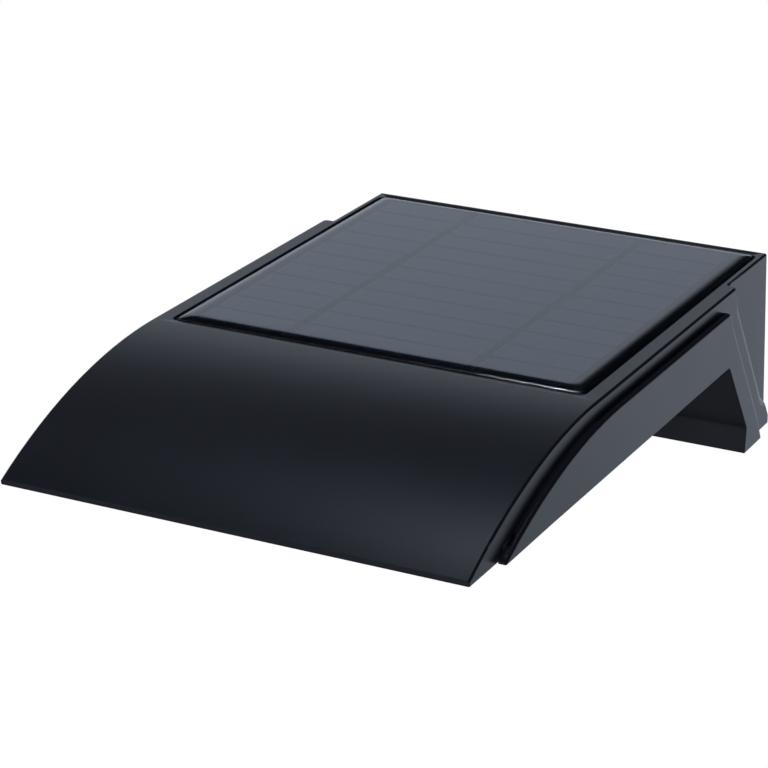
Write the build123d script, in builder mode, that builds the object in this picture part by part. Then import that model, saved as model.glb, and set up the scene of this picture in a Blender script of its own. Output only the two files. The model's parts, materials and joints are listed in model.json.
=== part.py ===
from build123d import *
from math import atan2, degrees, hypot, radians, sqrt, tan
import os

os.makedirs("parts", exist_ok=True)

# Solar wall light: a crowned hood with a solar panel on its flat top, standing out from the
# wall on a raked leg. It hangs on a pressed steel bracket. The wall is the plane Y = 0, the
# light reaches out along -Y, and the origin is midway between the two wall screws.
# Distances called "out" are measured from the wall. All sizes are in millimetres.

# Upper shell: hood and rear box
hood_width = 125.0  # across the hood's side walls
hood_top = 25.0  # flat top above the wall screws
hood_rear = 29.8  # wall to the step where the rear box begins
rake_rise = 4.7  # foot up to where the rake of the hood's rear step meets the rear rim
body_height = 19.8  # flat top to the underside of the front body
leg_height = 49.6  # flat top to the underside of the foot
rim_gap = 0.4  # wall to the rear rim
crown_lead = 1.8  # panel recess to the start of the crown
crown_run = 69.9  # start of the crown to the front lip
lip_height = 1.6  # blunt front lip
shell_wall = 2.4
hood_bevel = 0.6  # along the top edges
step_bevel = 1.6  # bevel on the hood's rear step
box_step = 2.8  # hood side to rear box side, at the flat top
box_draft = 1.7  # lean of the rear box sides, degrees

# Solar panel, in a recess of the flat top
panel_margin = 5.0  # hood side to panel side
panel_rear = 4.1  # wall to panel
panel_length = 116.1
panel_gap = 0.6  # round the panel, in its recess
panel_proud = 0.8  # panel above the flat top
panel_corner = 1.6
panel_round = 1.1  # rounding of the resin's top edge
panel_board_thickness = 1.0
tape_thickness = 0.5
tape_width = 9.0
tape_inset = 1.0
recess_depth = 2.2
tray_wall = 2.0  # floor of the recess
cell_count = 11
cell_rear_border = 3.3  # panel's rear end to the first strip
cell_front_border = 2.2  # last strip to the panel's front end
cell_side_border = 5.5  # panel side to the strips' ends
cell_gap = 0.9
cell_thickness = 0.25
ribbon_spread = 51.4
ribbon_width = 2.4
ribbon_thickness = 0.12
cell_slack = 0.1  # round the cells and over the ribbons, in the resin

# Lower housing: cheeks, underside, leg and foot
cheek_step = 2.3  # cheek face beyond the hood side
cheek_ledge = 3.7  # flat top down to the ledge
cheek_lead = 9.1  # the cheek's crown starts this much nearer the wall than the hood's
cheek_setback = 14.2  # front lip to the front end of the cheeks
cheek_bevel = 0.7
cheek_lip = 0.8  # blunt front end of the cheeks
ledge_rear = 40.0  # wall to the rear end of the ledge
leg_apex = 39.8  # wall to the leg's front, at the underside
knee_out = 24.4
knee_height = 7.4  # knee above the foot's underside
foot_front = 24.9
heel_out = 14.4  # cheek's rear edge at the knee's height
foot_rear = 12.1  # cheek's rear edge at the foot's underside
floor_wall = 2.4
fit_gap = 0.2  # between pieces that drop into each other
seal_thickness = 1.2

# Light window
lens_setback = 46.5  # front lip to the middle of the lens
lens_width = 32.0
lens_recess = 0.4
lens_flange = 3.0
lens_flange_thickness = 1.5
gasket_thickness = 1.0
reflector_rim = 1.5  # flat rim round the reflector's mouth
reflector_slot_width = 8.0  # slot for the LEDs
reflector_head_gap = 1.0  # reflector to the hood above it
ear_gap = 1.1  # hood wall to the reflector's ears
ear_length = 6.0
ear_width = 12.0
ear_thickness = 2.0
led_board_lap = 11.0  # LED board past the ends of the slot
led_board_width = 18.0
led_board_thickness = 1.0
led_screw_inset = 2.6
led_count = 10
led_end_gap = 2.05  # last LED to the end of the slot
led_length = 3.5
led_width = 2.8
led_height = 0.7

# Control board
board_length = 56.0
board_width = 68.0
board_thickness = 1.6
board_front_gap = 6.0  # lens flange to board
board_head = 4.4  # tallest piece on the board
board_head_gap = 0.6
board_screw_inset = 4.0
switch_size = 8.0
switch_inset = 14.0  # rear edge of the board to the switch
stem_radius = 2.0
stem_bore_depth = 2.8
stem_engage = 0.8
stem_show = 1.5  # stem between button and switch
chip_length = 6.4
chip_width = 4.8
chip_height = 1.6
chip_offset = 17.0
coil_radius = 3.9
capacitor_radius = 2.2
capacitor_offset = 8.5
capacitor_lead = 14.0  # middle of the board to the capacitors
socket_length = 9.0
socket_width = 5.0
socket_height = 3.4
battery_socket_x = -18.0

# Push button in the underside
button_radius = 6.0
button_proud = 0.6
button_bevel = 0.4
button_flange = 1.5
button_flange_thickness = 1.0
button_rest_gap = 0.1
ring_width = 1.0
ring_clear = 0.05
ring_height = 0.95  # middle of the ring above the underside

# Battery, in the rear box
battery_radius = 9.2
battery_length = 65.2
battery_bevel = 0.4
battery_head_gap = 2.0  # panel tray to the holder
holder_wall = 1.6
holder_base = 2.6
holder_gap = 0.3
holder_end_room = 2.0
holder_lip = 2.2  # side walls past the middle of the cell
contact_thickness = 0.5
contact_width = 12.0
contact_height = 13.0
contact_tip_radius = 2.6

# Wall bracket and back cover
screw_spacing = 64.0  # wall screws
screw_hole_radius = 2.6
bracket_thickness = 1.6
bracket_width = 84.0
bracket_drop = 13.0  # wall screws to the bracket's lower edge
bracket_corner = 4.0
hook_drop = 10.8  # panel tray down to the hooks' seats
hook_offset = 14.0
hook_width = 16.0
hook_rise = 6.4
hook_gap = 0.5
hang_gap = 0.1
lift_travel = 8.0
cover_out = 4.8  # wall to the cover
cover_wall = 2.2
pocket_wall = 1.5
cover_boss = 8.0
cover_boss_length = 11.0
cover_screw_inset = 8.5  # rear box side to the cover screws

# Screws and leads
screw_radius = 1.5
screw_head_radius = 2.8
screw_head_height = 1.8
screw_bury = 0.4  # housing screw heads below the underside
screw_length = 7.0
rod_sides = 12  # facets of screws, bosses and their holes
small_screw_radius = 1.1
small_head_radius = 2.0
small_head_height = 1.2
small_screw_length = 4.0
led_screw_length = 2.4
screw_gap = 0.05
boss_radius = 3.6
small_boss_radius = 3.0
boss_inset = 8.0  # hood side to the housing screws
pad_height = 1.6
lead_radius = 0.8
lead_pitch = 2.4
lead_sides = 6
lead_bend = 3.0
lead_hole_radius = 2.8

# Levels, lengths and places worked out from the sizes above
half = hood_width / 2
hollow_half = half - shell_wall
cheek_half = half + cheek_step
floor_z = hood_top - body_height
floor_top = floor_z + floor_wall
foot_z = hood_top - leg_height
foot_top = foot_z + floor_wall
knee_z = foot_z + knee_height
ledge_z = hood_top - cheek_ledge
recess_z = hood_top - recess_depth
tray_under = recess_z - tray_wall
panel_width = hood_width - 2 * panel_margin
panel_mid = panel_rear + panel_length / 2
crown_start = panel_rear + panel_length + panel_gap + crown_lead
cheek_start = crown_start - cheek_lead
reach = crown_start + crown_run
rake_foot_z = foot_z + rake_rise
rake = (hood_rear - rim_gap) / (hood_top - rake_foot_z)
below = foot_z - leg_height
inner_top = hood_top - shell_wall
lip_z = floor_z + lip_height
cheek_front = reach - cheek_setback
cheek_lip_z = floor_z + cheek_lip


def arc_radius(run, drop):
    """Radius of an arc that starts level and comes down by drop over a run."""
    return (run**2 + drop**2) / (2 * drop)


def crown(out, start, radius, top):
    """Height of a flat top that turns down in an arc from start, at a distance out."""
    return top - radius + sqrt(radius**2 - max(out - start, 0) ** 2)


def crown_end(z, start, radius, top):
    """Distance out at which such a top comes down to the height z."""
    return start + sqrt(radius**2 - (radius - (top - z)) ** 2)


def box_half(z):
    """Half width of the drafted rear box at a height."""
    return half - box_step + (hood_top - z) * tan(radians(box_draft))


def crown_line(start, end, radius, top):
    """Arc of a crowned top, from the end of its flat to a distance end."""
    middle = (start + end) / 2
    ThreePointArc(
        (-start, top),
        (-middle, crown(middle, start, radius, top)),
        (-end, crown(end, start, radius, top)),
    )


def inside_underside(inset):
    """Side view of all that lies more than inset inside the underside, the leg and the foot."""
    far = 2 * reach
    with BuildSketch(Plane.YZ) as region:
        Polygon(
            (-far, floor_z),
            (-leg_apex, floor_z),
            (-knee_out, knee_z),
            (-foot_front, foot_z),
            (far, foot_z),
            (far, far),
            (-far, far),
        )
        offset(amount=-inset, kind=Kind.INTERSECTION)
    return region.sketch_local


def rods(plane, points, radius, length, mode=Mode.ADD):
    """Many-sided rods, bosses or, with Mode.SUBTRACT, holes from the plane along its normal."""
    with BuildSketch() as section:
        RegularPolygon(radius, rod_sides)
    rod = extrude(section.sketch_local, amount=length, mode=Mode.PRIVATE)
    with Locations(plane):
        with Locations(*points):
            add(rod, mode=mode)


def set_screws(plane, points, shank, length, head, head_height):
    """Screws with their shanks along the plane's normal and their heads behind the plane."""
    rods(plane, points, shank, length)
    rods(plane.offset(-head_height), points, head, head_height)


def facing_down(z):
    """Plane at a height with its normal down; its points are (x, out)."""
    return Plane(origin=(0, 0, z), x_dir=(1, 0, 0), z_dir=(0, 0, -1))


def facing_up(z):
    """Plane at a height with its normal up; its points are (x, -out)."""
    return Plane.XY.offset(z)


def facing_out(out):
    """Plane at a distance from the wall with its normal away from it; its points are (x, z)."""
    return Plane.XZ.offset(out)


def both_sides(x, *along):
    """Points at x and -x for each of the other coordinates."""
    return [(side * x, other) for other in along for side in (-1, 1)]


def write(builder, name):
    """Label a finished piece and write it as its own file."""
    builder.part.label = name
    export_step(builder.part, f"parts/{name}.step")


crown_radius = arc_radius(crown_run, hood_top - lip_z)
inner_radius = crown_radius - shell_wall
cheek_radius = arc_radius(cheek_front - cheek_start, ledge_z - cheek_lip_z)
cheek_floor = crown_end(floor_top, cheek_start, cheek_radius, ledge_z)
nose_back = crown_end(floor_top + 2 * fit_gap, crown_start, inner_radius, inner_top)
floor_region = inside_underside(floor_wall)
seal_region = inside_underside(floor_wall + seal_thickness)

# Light window: levels from the underside up to the hood
lens_out = reach - lens_setback
ear_end = hollow_half - ear_gap
flange_length = 2 * (ear_end - ear_length)
lens_length = flange_length - 2 * lens_flange
flange_width = lens_width + 2 * lens_flange
lens_front = lens_out + flange_width / 2
lens_back = lens_out - flange_width / 2
flange_z = floor_top + gasket_thickness
reflector_z = flange_z + lens_flange_thickness
led_z = crown(lens_front, crown_start, inner_radius, inner_top) - reflector_head_gap
ear_x = ear_end - ear_length / 2
mouth_length = lens_length - 2 * reflector_rim
mouth_width = lens_width - 2 * reflector_rim
slot_length = mouth_length - mouth_width + reflector_slot_width
led_pitch = (slot_length - led_length - 2 * led_end_gap) / (led_count - 1)
led_board_length = slot_length + 2 * led_board_lap
led_screw_x = led_board_length / 2 - led_screw_inset

# Housing screws: beside the leg, beside the board and ahead of the lens
screw_hole = screw_radius + screw_gap
small_hole = small_screw_radius + screw_gap
pad_top = floor_top + pad_height
screw_seat = floor_z + screw_bury + screw_head_height
boss_outs = (
    leg_apex + 2 * floor_wall + boss_radius,
    (leg_apex + lens_back) / 2,
    lens_front + fit_gap + boss_radius,
)
boss_points = both_sides(half - boss_inset, *[-out for out in boss_outs])

# Control board, under the panel's tray
board_top = tray_under - board_head_gap - board_head
board_z = board_top - board_thickness
board_front = lens_back - board_front_gap
board_rear = board_front - board_length
board_mid = (board_front + board_rear) / 2
board_screw_points = both_sides(
    board_width / 2 - board_screw_inset,
    -(board_rear + board_screw_inset),
    -(board_front - board_screw_inset),
)
button_out = board_rear + switch_inset
lead_hole_out = board_rear - 2 * lead_bend
socket_z = board_top + socket_height / 2
flange_top = floor_top + button_rest_gap + button_flange_thickness
switch_height = board_z - flange_top - stem_show

# Rear box: hooks, their pockets in the cover, and the battery holder on the cover
hook_seat = tray_under - hook_drop
cover_inside = cover_out + cover_wall
hook_front = cover_inside + hook_gap + bracket_thickness
pocket_out = hook_front + hook_gap + pocket_wall
window_top = hook_seat + hang_gap
window_foot = hook_seat - bracket_thickness - lift_travel - hook_gap
pocket_top = hook_seat + hook_rise + hook_gap
window_width = hook_width + 2 * hook_gap
cover_x = box_half(hood_top) - cover_screw_inset
cover_top_z = tray_under - cover_boss / 2
cover_foot_z = foot_top + cover_boss / 2
holder_out = pocket_out + holder_gap
battery_out = holder_out + holder_base + holder_gap + battery_radius
trough_radius = battery_radius + holder_gap
holder_half_height = trough_radius + holder_wall
battery_z = tray_under - battery_head_gap - holder_half_height
trough_half = battery_length / 2 + holder_end_room
holder_half = trough_half + holder_wall
holder_screw_x = hook_offset + window_width / 2 + pocket_wall + small_boss_radius + fit_gap
holder_screws_at = both_sides(holder_screw_x, battery_z)

# Outer form of the hood: a side view with the crown, the raked step and the leg
with BuildPart() as hood_form:
    with BuildSketch(Plane.YZ):
        with BuildLine():
            crown_line(crown_start, reach, crown_radius, hood_top)
            Polyline(
                (-reach, lip_z),
                (-reach, floor_z),
                (-leg_apex, floor_z),
                (-knee_out, knee_z),
                (-foot_front, foot_z),
                (-rim_gap, foot_z),
                (-rim_gap, rake_foot_z),
                (-hood_rear, hood_top),
                (-crown_start, hood_top),
            )
        make_face()
    extrude(amount=half, both=True)
    step_middle = Vector(0, -(hood_rear + rim_gap) / 2, (hood_top + rake_foot_z) / 2)
    step_face = faces().sort_by(lambda face: (face.center() - step_middle).length)[0]
    step_sides = [edge for edge in step_face.edges() if abs(edge.center().X) > hollow_half]
    chamfer(step_sides, length=step_bevel)
    top_edges = edges().filter_by(Axis.Y).group_by(Axis.Z)[-1]
    crown_edges = edges().filter_by(GeomType.CIRCLE)
    chamfer(top_edges + crown_edges, length=hood_bevel)

# Outer form of the rear box: narrower than the hood, with drafted sides
with BuildPart() as box_form:
    with BuildSketch(Plane.YZ):
        Polygon(
            (-rim_gap, hood_top),
            (-rim_gap, foot_z),
            (-foot_front, foot_z),
            (-knee_out, knee_z),
            (-leg_apex, floor_z),
            (-leg_apex, hood_top),
        )
    extrude(amount=hood_width, both=True)
    with BuildSketch(Plane.XZ):
        Polygon(
            (-box_half(hood_top), hood_top),
            (box_half(hood_top), hood_top),
            (box_half(foot_z), foot_z),
            (-box_half(foot_z), foot_z),
        )
    extrude(amount=reach, mode=Mode.INTERSECT)
    chamfer(edges().filter_by(Axis.Y).group_by(Axis.Z)[-1], length=hood_bevel)

with BuildPart() as shell_form:
    add(hood_form.part)
    add(box_form.part)

# What stands inside the upper shell, kept within its outer form: the panel's tray, the screw
# bosses under the hood and the blocks for the back cover's upper screws
with BuildPart() as shell_inside:
    with BuildSketch(facing_up(tray_under)):
        with Locations((0, -crown_start / 2)):
            Rectangle(hood_width, crown_start)
    extrude(amount=recess_depth + tray_wall)
    rods(facing_up(pad_top), boss_points, boss_radius, hood_top - pad_top)
    with BuildSketch(facing_out(cover_inside)):
        with Locations(*both_sides(cover_x, cover_top_z)):
            Rectangle(cover_boss, cover_boss)
    extrude(amount=cover_boss_length)
    add(shell_form.part, mode=Mode.INTERSECT)

# Upper shell: the outer form hollowed from below and behind
with BuildPart() as upper_shell:
    add(shell_form.part)
    rear_wall = shell_wall * hypot(1, rake)
    sill_z = foot_top + shell_wall
    with BuildSketch(Plane.YZ):
        with BuildLine():
            crown_line(crown_start, nose_back, inner_radius, inner_top)
            Polyline(
                (-nose_back, crown(nose_back, crown_start, inner_radius, inner_top)),
                (-nose_back, below),
                (rim_gap, below),
                (rim_gap, sill_z),
                ((hood_top - sill_z) * rake - hood_rear - rear_wall, sill_z),
                (shell_wall * rake - hood_rear - rear_wall, inner_top),
                (-crown_start, inner_top),
            )
        make_face()
    extrude(amount=hollow_half, both=True, mode=Mode.SUBTRACT)
    with BuildSketch(facing_out(-rim_gap)):
        Polygon(
            (shell_wall - box_half(inner_top), inner_top),
            (box_half(inner_top) - shell_wall, inner_top),
            (box_half(below) - shell_wall, below),
            (shell_wall - box_half(below), below),
        )
    extrude(amount=leg_apex, mode=Mode.SUBTRACT)
    # Where the cheeks cover them, the side walls stop on the seals
    with BuildSketch(Plane.YZ):
        Polygon(
            (-cheek_floor - fit_gap, hood_top),
            (-cheek_floor - fit_gap, below),
            (fit_gap - foot_rear, below),
            (fit_gap - foot_rear, hood_top),
        )
        add(seal_region, mode=Mode.SUBTRACT)
    extrude(amount=hood_width, both=True, mode=Mode.SUBTRACT)
    add(shell_inside.part)
    # Recess for the panel, the way through for its leads, and the screw holes
    with BuildSketch(facing_up(recess_z)):
        with Locations((0, -panel_mid)):
            RectangleRounded(
                panel_width + 2 * panel_gap,
                panel_length + 2 * panel_gap,
                panel_corner + panel_gap,
            )
    extrude(amount=recess_depth, mode=Mode.SUBTRACT)
    rods(facing_down(recess_z), [(0, lead_hole_out)], lead_hole_radius, tray_wall, Mode.SUBTRACT)
    pilot_depth = screw_seat + screw_length + screw_gap - pad_top
    rods(facing_up(pad_top), boss_points, screw_hole, pilot_depth, Mode.SUBTRACT)
    rods(
        facing_out(cover_inside),
        both_sides(cover_x, cover_top_z),
        screw_hole,
        screw_length,
        Mode.SUBTRACT,
    )
write(upper_shell, "upper_shell")

# Lower housing: cheeks and underside cut from one crowned side view
with BuildPart() as lower_housing:
    with BuildSketch(Plane.YZ):
        with BuildLine():
            crown_line(cheek_start, cheek_front, cheek_radius, ledge_z)
            Polyline(
                (-cheek_front, cheek_lip_z),
                (-cheek_front, floor_z),
                (-leg_apex, floor_z),
                (-knee_out, knee_z),
                (-foot_front, foot_z),
                (-foot_rear, foot_z),
                (-heel_out, knee_z),
                (-ledge_rear, ledge_z),
                (-cheek_start, ledge_z),
            )
        make_face()
    extrude(amount=cheek_half, both=True)
    ledge_edges = edges().filter_by(Axis.Y).group_by(Axis.Z)[-1]
    arc_edges = edges().filter_by(GeomType.CIRCLE)
    chamfer(ledge_edges + arc_edges, length=cheek_bevel)
    with BuildSketch(Plane.YZ):
        add(floor_region)
        Polygon(
            (-2 * reach, below),
            (-cheek_floor, below),
            (-cheek_floor, hood_top),
            (-2 * reach, hood_top),
        )
    extrude(amount=half + fit_gap, both=True, mode=Mode.SUBTRACT)
    # The floor runs on between the hood's walls, to the nose and to the rear rim
    tongue_width = 2 * (hollow_half - fit_gap)
    nose_tongue = nose_back - fit_gap - cheek_floor + floor_wall
    with BuildSketch(facing_up(floor_z)):
        with Locations((0, floor_wall - cheek_floor)):
            Rectangle(tongue_width, nose_tongue, align=(Align.CENTER, Align.MAX))
    extrude(amount=floor_wall)
    with BuildSketch(facing_up(foot_z)):
        with Locations((0, -rim_gap)):
            Rectangle(tongue_width, foot_rear + floor_wall, align=(Align.CENTER, Align.MAX))
    extrude(amount=floor_wall)
    # Pads, standoffs and blocks for the screws
    rods(facing_up(floor_top), boss_points, boss_radius, pad_height)
    rods(facing_up(floor_top), board_screw_points, small_boss_radius, board_z - floor_top)
    ear_points = both_sides(ear_x, -lens_out)
    rods(facing_up(floor_top), ear_points, small_boss_radius, reflector_z - floor_top)
    with BuildSketch(facing_out(cover_inside)):
        with Locations(*both_sides(cover_x, cover_foot_z)):
            Rectangle(cover_boss, cover_boss)
    extrude(amount=cover_boss_length)
    # Light window, button hole and screw holes
    with BuildSketch(facing_up(floor_z)):
        with Locations((0, -lens_out)):
            Rectangle(lens_length, lens_width)
        with Locations((0, -button_out)):
            Circle(button_radius + fit_gap)
    extrude(amount=floor_wall, mode=Mode.SUBTRACT)
    head_hole = screw_head_radius + fit_gap
    rods(facing_up(floor_z), boss_points, head_hole, screw_seat - floor_z, Mode.SUBTRACT)
    rods(facing_up(screw_seat), boss_points, screw_hole, pad_top - screw_seat, Mode.SUBTRACT)
    rods(facing_down(board_z), [(x, -y) for x, y in board_screw_points], small_hole,
         small_screw_length, Mode.SUBTRACT)
    rods(facing_down(reflector_z), [(x, -y) for x, y in ear_points], small_hole,
         small_screw_length, Mode.SUBTRACT)
    rods(facing_out(cover_inside), both_sides(cover_x, cover_foot_z), screw_hole, screw_length,
         Mode.SUBTRACT)
write(lower_housing, "lower_housing")

# Seals: a strip under each side wall of the hood, from the nose down the leg to the foot
with BuildPart() as housing_seals:
    with BuildSketch(Plane.YZ.offset(hollow_half)):
        Polygon(
            (-cheek_floor, hood_top),
            (-cheek_floor, below),
            (-foot_rear, below),
            (-foot_rear, hood_top),
        )
        add(floor_region, mode=Mode.INTERSECT)
        add(seal_region, mode=Mode.SUBTRACT)
    extrude(amount=shell_wall)
    mirror(about=Plane.YZ)
write(housing_seals, "housing_seals")

with BuildPart() as housing_screws:
    set_screws(facing_up(screw_seat), boss_points, screw_radius, screw_length,
               screw_head_radius, screw_head_height)
write(housing_screws, "housing_screws")

# Solar panel: tape, back board, cell strips, ribbons and the clear resin cast over them
board_level = recess_z + tape_thickness
cell_level = board_level + panel_board_thickness
ribbon_level = cell_level + cell_thickness
panel_top = hood_top + panel_proud
cell_run = panel_length - cell_rear_border - cell_front_border
cell_mid = panel_rear + cell_rear_border + cell_run / 2
cell_span = panel_width - 2 * cell_side_border
cell_pitch = cell_run / cell_count

with BuildPart() as panel_tape:
    with BuildSketch(facing_up(recess_z)):
        with Locations((0, -panel_mid)):
            Rectangle(panel_width - 2 * tape_inset, panel_length - 2 * tape_inset)
            Rectangle(
                panel_width - 2 * (tape_inset + tape_width),
                panel_length - 2 * (tape_inset + tape_width),
                mode=Mode.SUBTRACT,
            )
    extrude(amount=tape_thickness)
write(panel_tape, "panel_tape")

with BuildPart() as panel_board:
    with BuildSketch(facing_up(board_level)):
        with Locations((0, -panel_mid)):
            RectangleRounded(panel_width, panel_length, panel_corner)
    extrude(amount=panel_board_thickness)
write(panel_board, "panel_board")

with BuildPart() as solar_cells:
    with BuildSketch(facing_up(cell_level)):
        with Locations((0, -cell_mid)):
            with GridLocations(0, cell_pitch, 1, cell_count):
                Rectangle(cell_span, cell_pitch - cell_gap)
    extrude(amount=cell_thickness)
write(solar_cells, "solar_cells")

with BuildPart() as cell_ribbons:
    with BuildSketch(facing_up(ribbon_level)):
        with Locations((0, -cell_mid)):
            with GridLocations(ribbon_spread, 0, 2, 1):
                Rectangle(ribbon_width, cell_run)
    extrude(amount=ribbon_thickness)
write(cell_ribbons, "cell_ribbons")

with BuildPart() as panel_resin:
    with BuildSketch(facing_up(cell_level)):
        with Locations((0, -panel_mid)):
            RectangleRounded(panel_width, panel_length, panel_corner)
    extrude(amount=panel_top - cell_level)
    fillet(faces().sort_by(Axis.Z)[-1].edges(), radius=panel_round)
    with BuildSketch(facing_up(cell_level)):
        with Locations((0, -cell_mid)):
            Rectangle(cell_span + 2 * cell_slack, cell_run + 2 * cell_slack)
    extrude(amount=cell_thickness + ribbon_thickness + cell_slack, mode=Mode.SUBTRACT)
write(panel_resin, "panel_resin")

# Light window: gasket, lens, reflector and LED board stacked on the underside
with BuildPart() as lens_gasket:
    with BuildSketch(facing_up(floor_top)):
        with Locations((0, -lens_out)):
            Rectangle(flange_length, flange_width)
            Rectangle(lens_length, lens_width, mode=Mode.SUBTRACT)
    extrude(amount=gasket_thickness)
write(lens_gasket, "lens_gasket")

with BuildPart() as lens:
    with BuildSketch(facing_up(floor_z + lens_recess)):
        with Locations((0, -lens_out)):
            Rectangle(lens_length - 2 * fit_gap, lens_width - 2 * fit_gap)
    extrude(amount=flange_z - floor_z - lens_recess)
    with BuildSketch(facing_up(flange_z)):
        with Locations((0, -lens_out)):
            Rectangle(flange_length, flange_width)
    extrude(amount=lens_flange_thickness)
write(lens, "lens")

with BuildPart() as reflector:
    with BuildSketch(facing_up(reflector_z)):
        with Locations((0, -lens_out)):
            Rectangle(flange_length, flange_width)
    extrude(amount=led_z - reflector_z)
    with BuildSketch(facing_up(reflector_z)):
        with Locations((0, -lens_out)):
            Rectangle(2 * ear_end, ear_width)
    extrude(amount=ear_thickness)
    reflector_depth = led_z - reflector_z
    lean = degrees(atan2((mouth_width - reflector_slot_width) / 2, reflector_depth))
    with BuildSketch(facing_up(reflector_z)):
        with Locations((0, -lens_out)):
            Rectangle(mouth_length, mouth_width)
    extrude(amount=reflector_depth, taper=lean, mode=Mode.SUBTRACT)
    rods(facing_up(reflector_z), ear_points, small_hole, ear_thickness, Mode.SUBTRACT)
    led_screw_points = both_sides(led_screw_x, lens_out)
    rods(facing_down(led_z), led_screw_points, small_hole, led_screw_length, Mode.SUBTRACT)
write(reflector, "reflector")

with BuildPart() as reflector_screws:
    set_screws(facing_down(reflector_z + ear_thickness), both_sides(ear_x, lens_out),
               small_screw_radius, small_screw_length, small_head_radius, small_head_height)
write(reflector_screws, "reflector_screws")

with BuildPart() as led_board:
    with BuildSketch(facing_up(led_z)):
        with Locations((0, -lens_out)):
            Rectangle(led_board_length, led_board_width)
    extrude(amount=led_board_thickness)
    rods(facing_down(led_z + led_board_thickness), led_screw_points, small_hole,
         led_board_thickness, Mode.SUBTRACT)
write(led_board, "led_board")

with BuildPart() as leds:
    with BuildSketch(facing_up(led_z - led_height)):
        with Locations((0, -lens_out)):
            with GridLocations(led_pitch, 0, led_count, 1):
                Rectangle(led_length, led_width)
    extrude(amount=led_height)
write(leds, "leds")

with BuildPart() as led_screws:
    set_screws(facing_down(led_z + led_board_thickness), led_screw_points, small_screw_radius,
               led_board_thickness + led_screw_length, small_head_radius, small_head_height)
write(led_screws, "led_screws")

# Control board on its standoffs, with the charging and driving parts on top
with BuildPart() as control_board:
    with BuildSketch(facing_up(board_z)):
        with Locations((0, -board_mid)):
            Rectangle(board_width, board_length)
    extrude(amount=board_thickness)
    rods(facing_up(board_z), board_screw_points, small_hole, board_thickness, Mode.SUBTRACT)
write(control_board, "control_board")

with BuildPart() as board_screws:
    set_screws(facing_down(board_top), [(x, -y) for x, y in board_screw_points],
               small_screw_radius, board_thickness + small_screw_length,
               small_head_radius, small_head_height)
write(board_screws, "board_screws")

with BuildPart() as board_chips:
    with BuildSketch(facing_up(board_top)):
        with Locations((-chip_offset, -board_mid), (0, -board_mid)):
            Rectangle(chip_width, chip_length)
    extrude(amount=chip_height)
write(board_chips, "board_chips")

with BuildPart() as inductor:
    rods(facing_up(board_top), [(chip_offset, -board_mid)], coil_radius, board_head)
write(inductor, "inductor")

with BuildPart() as capacitors:
    capacitor_points = both_sides(capacitor_offset, -board_mid - capacitor_lead)
    rods(facing_up(board_top), capacitor_points, capacitor_radius, board_head)
write(capacitors, "capacitors")

rear_socket_out = board_rear + socket_width / 2
front_socket_out = board_front - socket_width / 2
with BuildPart() as lead_sockets:
    with BuildSketch(facing_up(board_top)):
        with Locations(
            (0, -rear_socket_out),
            (battery_socket_x, -rear_socket_out),
            (0, -front_socket_out),
        ):
            Rectangle(socket_length, socket_width)
    extrude(amount=socket_height)
write(lead_sockets, "lead_sockets")

# Push button: cap and sealing ring in the underside, stem and switch under the board
with BuildPart() as push_switch:
    with BuildSketch(facing_down(board_z)):
        with Locations((0, button_out)):
            Rectangle(switch_size, switch_size)
    extrude(amount=switch_height)
    rods(facing_up(board_z - switch_height), [(0, -button_out)], stem_radius + fit_gap,
         stem_bore_depth, Mode.SUBTRACT)
write(push_switch, "push_switch")

with BuildPart() as switch_stem:
    stem_top = board_z - switch_height + stem_engage
    rods(facing_up(flange_top), [(0, -button_out)], stem_radius, stem_top - flange_top)
write(switch_stem, "switch_stem")

ring_outer = button_radius + fit_gap - ring_clear
groove_radius = ring_outer - ring_width - ring_clear
groove_height = ring_width + 2 * ring_clear
with BuildPart() as mode_button:
    with BuildSketch(Plane.XZ.offset(button_out)):
        with Locations((0, floor_z - button_proud)):
            Rectangle(
                button_radius,
                flange_top - button_flange_thickness - floor_z + button_proud,
                align=(Align.MIN, Align.MIN),
            )
        with Locations((0, flange_top)):
            Rectangle(
                button_radius + button_flange,
                button_flange_thickness,
                align=(Align.MIN, Align.MAX),
            )
        with Locations((button_radius, floor_z + ring_height)):
            Rectangle(2 * (button_radius - groove_radius), groove_height, mode=Mode.SUBTRACT)
    revolve(axis=Axis((0, -button_out, 0), (0, 0, 1)))
    chamfer(edges().filter_by(GeomType.CIRCLE).group_by(Axis.Z)[0], length=button_bevel)
write(mode_button, "mode_button")

with BuildPart() as button_ring:
    with BuildSketch(facing_up(floor_z + ring_height)):
        with Locations((0, -button_out)):
            Circle(ring_outer)
            Circle(ring_outer - ring_width, mode=Mode.SUBTRACT)
    extrude(amount=ring_width / 2, both=True)
write(button_ring, "button_ring")

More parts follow.
